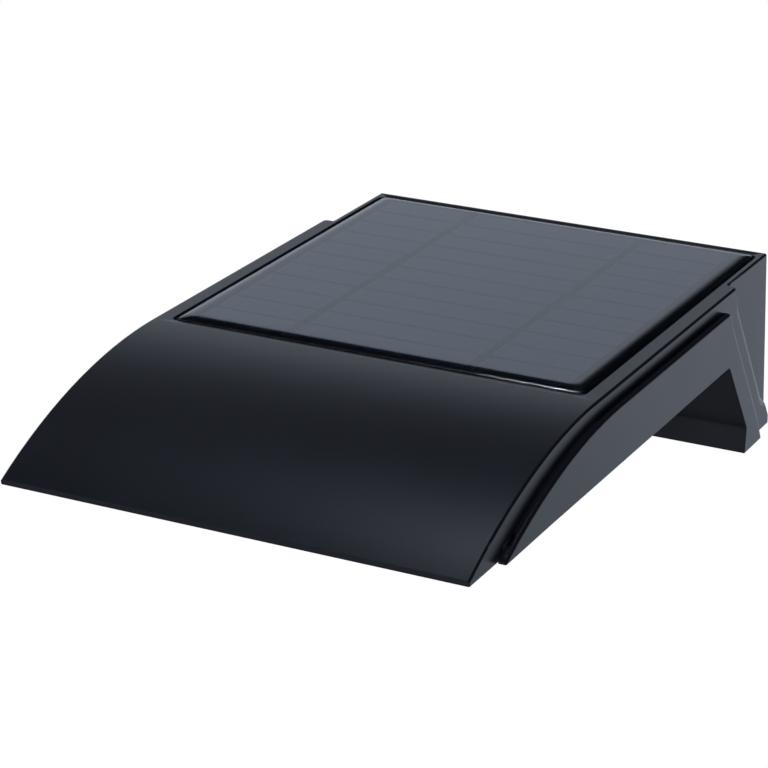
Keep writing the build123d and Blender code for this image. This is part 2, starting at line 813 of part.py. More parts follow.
# Back cover: closes the rear box, with a window and a closed pocket for each hook
with BuildPart() as back_cover:
    cover_top = tray_under - fit_gap
    cover_foot = foot_top + fit_gap
    top_half = box_half(cover_top) - shell_wall - fit_gap
    foot_half = box_half(cover_foot) - shell_wall - fit_gap
    with BuildSketch(facing_out(cover_out)):
        Polygon(
            (-top_half, cover_top),
            (top_half, cover_top),
            (foot_half, cover_foot),
            (-foot_half, cover_foot),
        )
    extrude(amount=cover_wall)
    pocket_middle = (pocket_top + window_foot) / 2
    pocket_height = pocket_top - window_foot
    with BuildSketch(facing_out(cover_inside)):
        with Locations(*both_sides(hook_offset, pocket_middle)):
            Rectangle(window_width + 2 * pocket_wall, pocket_height + 2 * pocket_wall)
    extrude(amount=pocket_out - cover_inside)
    rods(facing_out(cover_inside), holder_screws_at, small_boss_radius, holder_out - cover_inside)
    with BuildSketch(facing_out(cover_inside)):
        with Locations(*both_sides(hook_offset, pocket_middle)):
            Rectangle(window_width, pocket_height)
    extrude(amount=pocket_out - pocket_wall - cover_inside, mode=Mode.SUBTRACT)
    with BuildSketch(facing_out(cover_out)):
        with Locations(*both_sides(hook_offset, (window_top + window_foot) / 2)):
            Rectangle(window_width, window_top - window_foot)
    extrude(amount=cover_wall, mode=Mode.SUBTRACT)
    cover_points = both_sides(cover_x, cover_top_z, cover_foot_z)
    rods(facing_out(cover_out), cover_points, screw_hole, cover_wall, Mode.SUBTRACT)
    into_cover = Plane(origin=(0, -holder_out, 0), x_dir=(-1, 0, 0), z_dir=(0, 1, 0))
    rods(into_cover, holder_screws_at, small_hole, small_screw_length, Mode.SUBTRACT)
write(back_cover, "back_cover")

with BuildPart() as cover_screws:
    set_screws(facing_out(cover_out), cover_points, screw_radius, cover_wall + screw_length,
               screw_head_radius, screw_head_height)
write(cover_screws, "cover_screws")

# Wall bracket: pressed steel plate with two upturned hooks along its top edge
with BuildPart() as wall_bracket:
    with BuildSketch(facing_out(0)):
        with Locations((0, (hook_seat - bracket_drop) / 2)):
            RectangleRounded(bracket_width, hook_seat + bracket_drop, bracket_corner)
        with Locations(*both_sides(screw_spacing / 2, 0)):
            Circle(screw_hole_radius, mode=Mode.SUBTRACT)
    extrude(amount=bracket_thickness)
    for hook_x in (-hook_offset, hook_offset):
        with BuildSketch(Plane.YZ.offset(hook_x)):
            Polygon(
                (0, hook_seat),
                (0, hook_seat - bracket_thickness),
                (-hook_front, hook_seat - bracket_thickness),
                (-hook_front, hook_seat + hook_rise),
                (bracket_thickness - hook_front, hook_seat + hook_rise),
                (bracket_thickness - hook_front, hook_seat),
            )
        extrude(amount=hook_width / 2, both=True)
    hook_bends = edges().filter_by(Axis.X).sort_by(
        lambda edge: hypot(
            edge.center().Y + hook_front, edge.center().Z - hook_seat + bracket_thickness
        )
    )[:2]
    fillet(hook_bends, radius=bracket_thickness)
write(wall_bracket, "wall_bracket")

# Battery: one cell in a snap holder that is screwed to the back cover
with BuildPart() as battery_holder:
    with BuildSketch(Plane.YZ):
        with Locations((-holder_out, battery_z)):
            Rectangle(
                battery_out + holder_lip - holder_out,
                2 * holder_half_height,
                align=(Align.MAX, Align.CENTER),
            )
    extrude(amount=holder_half, both=True)
    with BuildSketch(Plane.YZ):
        with Locations((-battery_out, battery_z)):
            Circle(trough_radius)
    extrude(amount=trough_half, both=True, mode=Mode.SUBTRACT)
    holder_floor = battery_out - trough_radius
    rods(into_cover.offset(holder_out - holder_floor - fit_gap), holder_screws_at,
         small_head_radius + fit_gap, small_head_height + 2 * fit_gap, Mode.SUBTRACT)
    rods(into_cover.offset(-holder_base), holder_screws_at, small_hole, holder_base,
         Mode.SUBTRACT)
write(battery_holder, "battery_holder")

with BuildPart() as holder_screws:
    head_seat = holder_floor - small_head_height - fit_gap
    set_screws(into_cover.offset(holder_out - head_seat), holder_screws_at, small_screw_radius,
               small_screw_length, small_head_radius, small_head_height)
write(holder_screws, "holder_screws")

with BuildPart() as battery:
    with BuildSketch(Plane.YZ):
        with Locations((-battery_out, battery_z)):
            Circle(battery_radius)
    extrude(amount=battery_length / 2, both=True)
    chamfer(edges().filter_by(GeomType.CIRCLE), length=battery_bevel)
write(battery, "battery")

with BuildPart() as battery_contacts:
    with BuildSketch(Plane.YZ.offset(trough_half - contact_thickness)):
        with Locations((-battery_out, battery_z)):
            Rectangle(contact_width, contact_height)
    extrude(amount=contact_thickness)
    with BuildSketch(Plane.YZ.offset(battery_length / 2)):
        with Locations((-battery_out, battery_z)):
            Circle(contact_tip_radius)
    extrude(amount=holder_end_room - contact_thickness)
    mirror(about=Plane.YZ)
write(battery_contacts, "battery_contacts")

# Leads between the panel, the battery, the LED board and the control board
led_lead_z = led_z + led_board_thickness + lead_radius
led_lead_out = lens_out - led_board_width / 2 + lead_bend
lead_lift = 2 * lead_radius
lead_mid_out = (leg_apex + board_rear) / 2
lead_routes = {}
for side, colour in ((-1, "black"), (1, "red")):
    x = side * lead_pitch / 2
    lead_routes[f"panel_lead_{colour}"] = [
        (x, -lead_hole_out, board_level),
        (x, -lead_hole_out, socket_z),
        (x, -board_rear, socket_z),
    ]
    lead_routes[f"led_lead_{colour}"] = [
        (x, -led_lead_out, led_lead_z),
        (x, -lens_back - lead_bend, socket_z),
        (x, -board_front, socket_z),
    ]
    lead_routes[f"battery_lead_{colour}"] = [
        (side * holder_half, -battery_out, battery_z),
        (side * (holder_half + 2 * lead_bend), -battery_out, battery_z),
        (side * (holder_half + 2 * lead_bend), -leg_apex, socket_z - lead_lift),
        (battery_socket_x + x, -lead_mid_out - side * lead_pitch, socket_z),
        (battery_socket_x + x, -board_rear, socket_z),
    ]
for name, points in lead_routes.items():
    with BuildPart() as lead:
        with BuildLine() as route:
            FilletPolyline(*points, radius=lead_bend)
        with BuildSketch(Plane(origin=route.line @ 0, z_dir=route.line % 0)):
            RegularPolygon(lead_radius, lead_sides)
        sweep(path=route.line)
    write(lead, name)
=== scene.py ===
import json
import bmesh
import bpy
import numpy as np
from mathutils import Matrix, Vector

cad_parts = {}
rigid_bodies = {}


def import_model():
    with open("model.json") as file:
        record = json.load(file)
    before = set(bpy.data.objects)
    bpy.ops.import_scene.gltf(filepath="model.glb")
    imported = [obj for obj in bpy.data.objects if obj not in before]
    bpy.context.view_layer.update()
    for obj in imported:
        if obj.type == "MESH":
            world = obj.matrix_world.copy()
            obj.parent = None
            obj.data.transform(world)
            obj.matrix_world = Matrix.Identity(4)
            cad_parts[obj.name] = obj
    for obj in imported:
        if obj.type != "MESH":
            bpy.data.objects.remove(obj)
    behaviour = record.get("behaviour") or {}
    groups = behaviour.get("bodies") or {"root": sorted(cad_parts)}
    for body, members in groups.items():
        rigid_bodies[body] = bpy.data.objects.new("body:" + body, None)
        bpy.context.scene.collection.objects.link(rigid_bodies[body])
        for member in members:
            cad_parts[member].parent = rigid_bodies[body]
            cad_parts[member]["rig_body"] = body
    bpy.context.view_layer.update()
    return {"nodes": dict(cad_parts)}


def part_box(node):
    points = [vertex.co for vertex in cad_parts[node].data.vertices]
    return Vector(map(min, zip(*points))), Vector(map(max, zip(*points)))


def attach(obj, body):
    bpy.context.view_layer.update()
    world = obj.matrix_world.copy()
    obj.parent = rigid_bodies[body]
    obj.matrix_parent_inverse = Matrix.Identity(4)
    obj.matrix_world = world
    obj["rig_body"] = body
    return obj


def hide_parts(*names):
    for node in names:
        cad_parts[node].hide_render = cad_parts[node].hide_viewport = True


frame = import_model()
nodes = frame["nodes"]

# Wall bracket: a strip of zinc-plated sheet steel, blanked and then bent up into two hooks.
# Two wood screws hold it to the wall, and the light hangs on the hooks.
MM = 0.001


def new_group(name, inputs, outputs):
    """An empty shader node group with named sockets, and its input and output nodes."""
    tree = bpy.data.node_groups.new(name, "ShaderNodeTree")
    for label, kind, value in inputs:
        socket = tree.interface.new_socket(label, in_out="INPUT", socket_type=f"NodeSocket{kind}")
        socket.default_value = value
    for label, kind in outputs:
        tree.interface.new_socket(label, in_out="OUTPUT", socket_type=f"NodeSocket{kind}")
    return tree, tree.nodes.new("NodeGroupInput"), tree.nodes.new("NodeGroupOutput")


def feed(tree, socket, value):
    """Sets a socket to a number or a colour, or links it to another node's output."""
    if isinstance(value, bpy.types.NodeSocket):
        tree.links.new(value, socket)
    else:
        socket.default_value = value


def noise(tree, coordinate, scale, detail=2.0):
    """The value of a noise texture on a coordinate."""
    node = tree.nodes.new("ShaderNodeTexNoise")
    node.inputs["Detail"].default_value = detail
    tree.links.new(coordinate, node.inputs["Vector"])
    feed(tree, node.inputs["Scale"], scale)
    return node.outputs["Fac"]


def maths(tree, operation, *values):
    """The result of a Math node on numbers or other nodes' outputs."""
    node = tree.nodes.new("ShaderNodeMath")
    node.operation = operation
    for socket, value in zip(node.inputs, values):
        feed(tree, socket, value)
    return node.outputs["Value"]


def mixed(tree, factor, first, second, how="MIX"):
    """The colour that a Mix node makes of two colours. Its colour sockets are inputs 6 and 7 and
    output 2."""
    node = tree.nodes.new("ShaderNodeMix")
    node.data_type = "RGBA"
    node.blend_type = how
    for socket, value in zip((node.inputs[0], node.inputs[6], node.inputs[7]), (factor, first, second)):
        feed(tree, socket, value)
    return node.outputs[2]


# The grain of a moulded, pressed or coated surface: wide clouds and fine specks shift its colour and
# its gloss, and a pebble between them gives the height.
grain, grain_in, grain_out = new_group(
    "surface_grain",
    [
        ("Colour", "Color", (0.5, 0.5, 0.5, 1)),
        ("Gloss", "Float", 0.4),
        ("Pebble", "Float", 2500.0),
        ("Clouds", "Float", 30.0),
        ("Mottle", "Float", 0.15),
        ("Spread", "Float", 0.06),
    ],
    [("Colour", "Color"), ("Roughness", "Float"), ("Height", "Float")],
)
SPECK_SIZE = 0.23  # scale of the specks to that of the pebble
where = grain.nodes.new("ShaderNodeTexCoord").outputs["Object"]
clouds = maths(grain, "SUBTRACT", noise(grain, where, grain_in.outputs["Clouds"], detail=4.0), 0.5)
speck_scale = maths(grain, "MULTIPLY", grain_in.outputs["Pebble"], SPECK_SIZE)
specks = maths(grain, "SUBTRACT", noise(grain, where, speck_scale, detail=3.0), 0.5)
pebble = noise(grain, where, grain_in.outputs["Pebble"], detail=1.0)
uneven = maths(grain, "ADD", clouds, specks)
shade = maths(grain, "MULTIPLY_ADD", uneven, grain_in.outputs["Mottle"], 1.0)
gloss = maths(grain, "MULTIPLY_ADD", uneven, grain_in.outputs["Spread"], grain_in.outputs["Gloss"])
tinted = mixed(grain, 1.0, grain_in.outputs["Colour"], shade, "MULTIPLY")
grain.links.new(tinted, grain_out.inputs["Colour"])
grain.links.new(gloss, grain_out.inputs["Roughness"])
grain.links.new(maths(grain, "ADD", pebble, specks), grain_out.inputs["Height"])
BUMP_HEIGHT = 0.1


def finish(name, colour, gloss, pebble=2500.0, mottle=0.15, bump=0.05, clouds=30.0, spread=0.06, **plain):
    """A material with the surface grain on its colour, roughness and bump, and plain values for other
    sockets."""
    material = bpy.data.materials.new(name)
    material.use_nodes = True
    tree = material.node_tree
    shader = tree.nodes["Principled BSDF"]
    group = tree.nodes.new("ShaderNodeGroup")
    group.node_tree = grain
    values = {"Gloss": gloss, "Pebble": pebble, "Clouds": clouds, "Mottle": mottle, "Spread": spread}
    group.inputs["Colour"].default_value = (*colour, 1)
    for label, value in values.items():
        group.inputs[label].default_value = value
    bumps = tree.nodes.new("ShaderNodeBump")
    bumps.inputs["Strength"].default_value = bump
    bumps.inputs["Distance"].default_value = BUMP_HEIGHT * MM
    tree.links.new(group.outputs["Height"], bumps.inputs["Height"])
    tree.links.new(bumps.outputs["Normal"], shader.inputs["Normal"])
    tree.links.new(group.outputs["Colour"], shader.inputs["Base Color"])
    tree.links.new(group.outputs["Roughness"], shader.inputs["Roughness"])
    for label, value in plain.items():
        shader.inputs[label.replace("_", " ")].default_value = value
    return material


def dress(material, *names):
    """Gives CAD nodes a material in place of their own."""
    for name in names:
        nodes[name].data.materials.clear()
        nodes[name].data.materials.append(material)


def stand_in(piece, node, material):
    """Shows a piece in place of a CAD node, on the node's body, with a material."""
    piece.data.materials.clear()
    piece.data.materials.append(material)
    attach(piece, nodes[node]["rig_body"])
    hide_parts(node)


SHARP_TURN = 28  # degrees


def smooth(piece, degrees=SHARP_TURN):
    """Shades a piece smooth but for the edges that turn by more than an angle."""
    piece.data.polygons.foreach_set("use_smooth", np.ones(len(piece.data.polygons), bool))
    piece.data.set_sharp_from_angle(angle=np.radians(degrees))
    return piece


SAME_POINT = 0.002
FLAT_TURN = 0.2  # degrees between faces that count as one flat


def merged_copy(name, node, whole_flats=False):
    """A new object with a copy of a CAD node's mesh, its loose triangles merged, and its flats too if
    asked."""
    shape = bmesh.new()
    shape.from_mesh(nodes[node].data)
    bmesh.ops.remove_doubles(shape, verts=shape.verts, dist=SAME_POINT * MM)
    if whole_flats:
        bmesh.ops.dissolve_limit(shape, angle_limit=np.radians(FLAT_TURN), verts=shape.verts,
                                 edges=shape.edges)
    mesh = bpy.data.meshes.new(name)
    shape.to_mesh(mesh)
    shape.free()
    copy = bpy.data.objects.new(name, mesh)
    bpy.context.scene.collection.objects.link(copy)
    return copy


def eased(name, node, width, segments=3):
    """A merged copy of a CAD node whose sharp edges are rounded by a width in millimetres."""
    copy = smooth(merged_copy(name, node, whole_flats=True))
    bevel = copy.modifiers.new("eased_edges", "BEVEL")
    bevel.width = width * MM
    bevel.segments = segments
    bevel.limit_method = "ANGLE"
    bevel.angle_limit = np.radians(SHARP_TURN)
    bevel.harden_normals = True
    return copy


zinc = finish("zinc_plate", (0.55, 0.56, 0.57), 0.34, pebble=900.0, mottle=0.3, bump=0.06, clouds=60.0,
              spread=0.14, Metallic=1.0)
BRACKET_EDGE = 0.25
bracket = eased("bracket_strip", "wall_bracket", BRACKET_EDGE)
stand_in(bracket, "wall_bracket", zinc)

# Back cover: a flat plate of black plastic with two windows for the hooks. Four self-tapping
# screws hold it in the rear box, and it carries the battery holder on its inner side.
cover_plastic = finish("cover_plastic", (0.016, 0.0165, 0.019), 0.5, pebble=1800.0, mottle=0.2,
                       bump=0.12)
COVER_EDGE = 0.3
cover = eased("cover_plate", "back_cover", COVER_EDGE)
stand_in(cover, "back_cover", cover_plastic)

# Screws: pan heads with a cross recess, cold-headed from stainless wire. Four hold the back
# cover, six go up through the underside into the hood, and the small ones stay inside.
steel = finish("stainless_steel", (0.56, 0.56, 0.55), 0.3, pebble=1500.0, mottle=0.2, bump=0.04,
               clouds=80.0, spread=0.1, Metallic=1.0)
HEAD_RADIUS = 2.8
HEAD_HEIGHT = 1.8
SHANK_RADIUS = 1.5
HEAD_ROUND = 0.9
SCREW_TURN = 35  # degrees, the sharpest turn that is shaded smooth
CROSS_REACH = 1.7
CROSS_WIDTH = 0.75
CROSS_DEPTH = 1.1
CROSS_FLARE = 1.15  # the recess's mouth and its foot, as shares of its plan
CROSS_TAPER = 0.6
CROSS_CLEAR = 0.2
WELD = 0.0005


def new_piece(name, points, faces):
    """A new object from points in millimetres and lists of face corners."""
    mesh = bpy.data.meshes.new(name)
    mesh.from_pydata((np.asarray(points) * MM).tolist(), [], faces)
    shape = bmesh.new()
    shape.from_mesh(mesh)
    bmesh.ops.remove_doubles(shape, verts=shape.verts, dist=WELD * MM)
    bmesh.ops.recalc_face_normals(shape, faces=shape.faces)
    bmesh.ops.triangulate(shape, faces=[face for face in shape.faces if len(face.verts) > 4])
    shape.to_mesh(mesh)
    shape.free()
    piece = bpy.data.objects.new(name, mesh)
    bpy.context.scene.collection.objects.link(piece)
    return piece


def tube_faces(rings, around):
    """Quads between the neighbouring rings of a closed tube, and its two end caps."""
    ring, at = np.meshgrid(np.arange(rings - 1), np.arange(around), indexing="ij")
    on = (at + 1) % around
    quads = np.stack([ring * around + at, ring * around + on, (ring + 1) * around + on,
                      (ring + 1) * around + at], -1).reshape(-1, 4)
    caps = [list(range(around)), list(range((rings - 1) * around, rings * around))]
    return quads.tolist() + caps


def quarter(centre, radius, start, steps=5):
    """Points of a quarter circle about a centre, anticlockwise from a start angle in degrees."""
    a = np.radians(start + np.linspace(0, 90, steps + 1))
    return np.column_stack([centre[0] + radius * np.cos(a), centre[1] + radius * np.sin(a)])


def spun(name, profile, around=40):
    """A profile (radius, height) spun about Z: x = r cos a, y = r sin a, z = h."""
    profile = np.asarray(profile, float)
    a = np.linspace(0, 2 * np.pi, around, endpoint=False)
    radius, height = profile[:, :1], profile[:, 1:]
    points = np.stack([radius * np.cos(a), radius * np.sin(a), height + 0 * a], -1)
    return new_piece(name, points.reshape(-1, 3), tube_faces(len(profile), around))


def carve(piece, tool, how="DIFFERENCE"):
    """Cuts the tool's shape out of a piece, or joins or intersects them, and removes the tool."""
    cut = piece.modifiers.new("cut", "BOOLEAN")
    cut.operation = how
    cut.solver = "MANIFOLD"
    cut.object = tool
    old = piece.data
    made = bpy.data.meshes.new_from_object(piece.evaluated_get(bpy.context.evaluated_depsgraph_get()))
    piece.modifiers.clear()
    piece.data = made
    made.name = piece.name
    bpy.data.meshes.remove(old)
    bpy.data.objects.remove(tool)
    return piece


def screw_set(name, places, along, length):
    """Screws with their heads' undersides at places and their shanks along a unit vector. One is
    spun and cut, and its points are then turned to that direction and repeated at each place."""
    shank = [(0, length), (SHANK_RADIUS, length), (SHANK_RADIUS, 0), (HEAD_RADIUS, 0)]
    head_edge = quarter((HEAD_RADIUS - HEAD_ROUND, HEAD_ROUND - HEAD_HEIGHT), HEAD_ROUND, 0)
    head_edge[:, 1] = 2 * (HEAD_ROUND - HEAD_HEIGHT) - head_edge[:, 1]
    one = spun(name, np.vstack([shank, head_edge, [(0, -HEAD_HEIGHT)]]))
    w, r = CROSS_WIDTH / 2, CROSS_REACH
    cross = np.array([(w, w), (w, r), (-w, r), (-w, w), (-r, w), (-r, -w),
                      (-w, -w), (-w, -r), (w, -r), (w, -w), (r, -w), (r, w)])
    corners = len(cross)
    mouth = np.column_stack([cross * CROSS_FLARE, np.full(corners, -HEAD_HEIGHT - CROSS_CLEAR)])
    foot = np.column_stack([cross * CROSS_TAPER, np.full(corners, CROSS_DEPTH - HEAD_HEIGHT)])
    carve(one, new_piece("cross", np.vstack([mouth, foot]), tube_faces(2, corners)))
    points = np.empty((len(one.data.vertices), 3))
    one.data.vertices.foreach_get("co", points.ravel())
    points /= MM
    faces = [list(p.vertices) for p in one.data.polygons]
    bpy.data.objects.remove(one)
    turn = np.array(Vector((0, 0, 1)).rotation_difference(Vector(along)).to_matrix())
    points = points @ turn.T
    repeated = np.concatenate([points + place for place in np.asarray(places, float)])
    shifts = [len(points) * i for i in range(len(places))]
    repeated_faces = [[i + shift for i in face] for shift in shifts for face in faces]
    return smooth(new_piece(name, repeated, repeated_faces), SCREW_TURN)


def mirrored(x, rest):
    """Points at x and -x for each pair of other coordinates."""
    return [(side * x, *other) for other in rest for side in (-1, 1)]


COVER_OUT = -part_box("back_cover")[1].y / MM
COVER_SCREW_X = 51.2
COVER_SCREW_ZS = (16.8, -18.2)
COVER_SHANK = 9.2
cover_places = mirrored(COVER_SCREW_X, [(-COVER_OUT, z) for z in COVER_SCREW_ZS])
cover_screws = screw_set("cover_pan_heads", cover_places, (0, -1, 0), COVER_SHANK)
stand_in(cover_screws, "cover_screws", steel)

HEAD_SUNK = 0.4
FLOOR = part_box("housing_screws")[0].z / MM - HEAD_SUNK
HEAD_SEAT = FLOOR + 2.2
HOUSING_SCREW_X = 54.5
HOUSING_SCREW_OUTS = (48.2, 83.4, 168.8)
HOUSING_SHANK = 7.0
housing_places = mirrored(HOUSING_SCREW_X, [(-out, HEAD_SEAT) for out in HOUSING_SCREW_OUTS])
housing_screws = screw_set("housing_pan_heads", housing_places, (0, 0, 1), HOUSING_SHANK)
stand_in(housing_screws, "housing_screws", steel)
dress(steel, "reflector_screws", "led_screws", "board_screws", "holder_screws", "battery_contacts")

# Lower housing: one moulding of satin black plastic with the two cheeks, the underside, the leg
# and the foot. The mould rounds its edges, and the ledge beside the hood rolls over into the cheeks.
shell_plastic = finish("satin_black_plastic", (0.0102, 0.0107, 0.0152), 0.31, pebble=3200.0, mottle=0.12,
                       bump=0.035, clouds=45.0, spread=0.05, Specular_IOR_Level=0.34)
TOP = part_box("upper_shell")[1].z / MM
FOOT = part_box("upper_shell")[0].z / MM
REACH = -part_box("upper_shell")[0].y / MM
CHEEK_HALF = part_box("lower_housing")[1].x / MM
SKIN = 0.06  # the visible surface lies this far inside the solid's, so that its curves show
LEDGE = TOP - 3.7
LEDGE_REAR = 40.0
CHEEK_START = 113.5
CHEEK_FRONT = REACH - 14.2
CHEEK_LIP = FLOOR + 0.8
KNEE = FOOT + 7.4
HEEL_OUT = 14.4
FOOT_REAR = 12.1
FOOT_FRONT = 24.9
KNEE_OUT = 24.4
LEG_APEX = 39.8
LEDGE_ROUND = 0.9
TIP_ROUND = 0.25
TIP_RUN = 6  # the ledge's round fades over this length
SMALL_CORNER = 0.35
SMALL_EDGE = 0.25
LEDGE_CORNER = 2.4
RAKE_RUN, RAKE_DROP = 3.2, 4.9  # from the ledge's rear end to the full round of the rake
RAKE_EDGE = 1.7
HEEL_CORNER = 2.0
KNEE_EDGE = 0.5
APEX_CORNER = 1.2
UNDER_EDGE = 0.6
UNDER_RUN = 25
TONGUE_HALF = 60.5
TONGUE_HEIGHT = 8
TONGUE_CLEAR = 1
REAR_LAP = 4
NOSE_LAP = 30
COUNTERBORE = 3.06
CUT_CLEAR = 1
SLIVER = 0.01
FLAT_WEIGHT = 80


def crown(start, top, end, foot, count=60):
    """Points (out, z) of an arc that leaves its start level and comes down to its end: with a run
    and a drop, its radius is (run^2 + drop^2) / (2 drop)."""
    run, drop = end - start, top - foot
    radius = (run**2 + drop**2) / (2 * drop)
    out = np.linspace(0, run, count)
    return np.column_stack([start + out, top - radius + np.sqrt(radius**2 - out**2)])


def unit(vectors):
    """Vectors scaled to length one."""
    return vectors / np.linalg.norm(vectors, axis=-1, keepdims=True)


def rounded(rows, steps=6, hold=0.3):
    """A closed outline from rows (out, z, corner radius, edge radius), as rows (out, z, edge radius).
    A corner's arc has its centre on the bisector, at radius / sin(half angle), and its points swing
    evenly between the tangent points. A point beyond each end of an arc keeps the flats flat."""
    rows = np.asarray(rows, float)
    points = rows[:, :2]
    back = unit(np.roll(points, 1, 0) - points)
    on = unit(np.roll(points, -1, 0) - points)
    half_angle = np.arccos(np.clip((back * on).sum(1), -1, 1)) / 2
    t = np.linspace(0, 1, steps + 1)[:, None]
    line = []
    for (out, z, radius, edge), before, after, half in zip(rows, back, on, half_angle):
        corner = np.array([[out, z]])
        if radius > 0:
            tangent = radius / np.tan(half)
            centre = corner + unit(before + after) * radius / np.sin(half)
            first, last = corner + before * tangent - centre, corner + after * tangent - centre
            swing = np.pi - 2 * half
            arc = (np.sin((1 - t) * swing) * first + np.sin(t * swing) * last) / np.sin(swing)
            ends = [corner + direction * (tangent + hold) for direction in (before, after)]
            corner = np.vstack([ends[0], centre + arc, ends[1]])
        line.append(np.column_stack([corner, np.full(len(corner), edge)]))
    return np.vstack(line)


def carried(name, outline, half, draft=0.0, hold=0.4, steps=8):
    """An outline (out, z, edge radius), anticlockwise, carried across X from -half to half. Towards each
    end it moves inwards by radius * (1 - sin a) while x reaches half - radius * (1 - cos a), a quarter
    round. With a draft, half grows by the draft for each millimetre below the top."""
    line, edge = outline[:, :2], outline[:, 2]
    step = unit(np.roll(line, -1, 0) - line)
    inward = np.column_stack([-step[:, 1], step[:, 0]])
    before = np.roll(inward, 1, 0)
    mitre = (before + inward) / (1 + (before * inward).sum(1))[:, None]
    a = np.linspace(0, np.pi / 2, steps)[:, None]
    inset = np.vstack([edge * (1 - np.sin(a)), 0 * edge])
    side = line[None] + inset[..., None] * mitre[None]
    x = half + (TOP - side[..., 1]) * draft - np.vstack([edge * (1 - np.cos(a)), edge + hold])
    x, side = np.vstack([x, -x[::-1]]), np.vstack([side, side[::-1]])
    points = np.stack([x, -side[..., 0], side[..., 1]], -1)
    return new_piece(name, points.reshape(-1, 3), tube_faces(len(x), len(line)))


def upright(name, plan, foot, top):
    """A plan outline (x, out), carried straight up from foot to top."""
    plan = np.asarray(plan, float)
    rings = [np.column_stack([plan[:, 0], -plan[:, 1], np.full(len(plan), z)]) for z in (foot, top)]
    return new_piece(name, np.vstack(rings), tube_faces(2, len(plan)))


def circle(x, out, radius, count=48):
    """Plan points (x, out) of a circle."""
    a = np.linspace(0, 2 * np.pi, count, endpoint=False)
    return np.column_stack([x + radius * np.cos(a), out + radius * np.sin(a)])


def oblong(half, near, far):
    """Plan corners (x, out) of a rectangle that reaches as far to the left as to the right."""
    return [(-half, near), (half, near), (half, far), (-half, far)]


def flat_faces_first(piece):
    """Merges the slivers that cuts leave in a piece's flats, shades it smooth, and lets the large faces
    set the normals, so that the flats stay flat up to their rounds."""
    shape = bmesh.new()
    shape.from_mesh(piece.data)
    bmesh.ops.dissolve_degenerate(shape, dist=SLIVER * MM, edges=shape.edges)
    bmesh.ops.dissolve_limit(shape, angle_limit=np.radians(FLAT_TURN), verts=shape.verts, edges=shape.edges)
    shape.to_mesh(piece.data)
    shape.free()
    smooth(piece)
    weighted = piece.modifiers.new("flat_faces_first", "WEIGHTED_NORMAL")
    weighted.keep_sharp = True
    weighted.weight = FLAT_WEIGHT
    return piece


arc = crown(CHEEK_START, LEDGE - SKIN, CHEEK_FRONT - SKIN, CHEEK_LIP)[::-1]
arc_edge = np.interp(arc[:, 0], [CHEEK_FRONT - TIP_RUN, CHEEK_FRONT], [LEDGE_ROUND, TIP_ROUND])
cheek_line = rounded(np.vstack([
    [(CHEEK_FRONT - SKIN, FLOOR + SKIN, SMALL_CORNER, TIP_ROUND)],
    np.column_stack([arc, 0 * arc_edge, arc_edge]),
    [
        (LEDGE_REAR + SKIN, LEDGE - SKIN, LEDGE_CORNER, LEDGE_ROUND),
        (LEDGE_REAR - RAKE_RUN, LEDGE - RAKE_DROP, 0, RAKE_EDGE),
        (HEEL_OUT + SKIN, KNEE, HEEL_CORNER, RAKE_EDGE),
        (FOOT_REAR + SKIN, FOOT + SKIN, SMALL_CORNER, SMALL_EDGE),
        (FOOT_FRONT - SKIN, FOOT + SKIN, SMALL_CORNER, SMALL_EDGE),
        (KNEE_OUT - SKIN, KNEE, HEEL_CORNER, KNEE_EDGE),
        (LEG_APEX - SKIN, FLOOR + SKIN, APEX_CORNER, UNDER_EDGE),
        (CHEEK_FRONT - UNDER_RUN, FLOOR + SKIN, 0, UNDER_EDGE),
    ],
]))
envelope = carried("cheek_envelope", cheek_line, CHEEK_HALF - SKIN)
tongue = oblong(TONGUE_HALF, -TONGUE_CLEAR, FOOT_REAR + REAR_LAP)
carve(envelope, upright("rear_tongue", tongue, FOOT + 2 * SKIN, FOOT + TONGUE_HEIGHT), "UNION")
nose = oblong(TONGUE_HALF, CHEEK_FRONT - NOSE_LAP, REACH)
carve(envelope, upright("nose_tongue", nose, FLOOR + 2 * SKIN, FLOOR + TONGUE_HEIGHT), "UNION")
housing = carve(merged_copy("lower_moulding", "lower_housing"), envelope, "INTERSECT")
for x, y, _ in housing_places:
    carve(housing, upright("counterbore", circle(x, -y, COUNTERBORE), FLOOR - CUT_CLEAR, HEAD_SEAT))
flat_faces_first(housing)
stand_in(housing, "lower_housing", shell_plastic)

# Seals and gaskets: strips of black silicone that lie in grooves under the hood's walls and round the
# lens, and a moulded ring of the same silicone in the button's groove.
silicone = finish("black_silicone", (0.022, 0.022, 0.023), 0.62, pebble=1500.0, mottle=0.2, bump=0.08)
dress(silicone, "housing_seals", "lens_gasket", "button_ring")

# Light window: a frosted opal lens that sits in the underside, with a white reflector behind it
# and a plate of LEDs that shine down through it.
opal = finish("opal_acrylic", (0.82, 0.83, 0.81), 0.42, pebble=1400.0, mottle=0.05, bump=0.06,
              clouds=25.0, spread=0.05, Transmission_Weight=0.25)
LENS_EDGE = 0.35
lens = eased("opal_lens", "lens", LENS_EDGE)
stand_in(lens, "lens", opal)
white_plastic = finish("white_plastic", (0.82, 0.82, 0.8), 0.3, pebble=1500.0, mottle=0.06, bump=0.03)
led_plate = finish("white_led_plate", (0.78, 0.79, 0.78), 0.36, pebble=1800.0, mottle=0.08, bump=0.05)
phosphor = finish("yellow_phosphor", (0.82, 0.62, 0.14), 0.4, pebble=4000.0, mottle=0.2, bump=0.08)
dress(white_plastic, "reflector")
dress(led_plate, "led_board")
dress(phosphor, "leds")

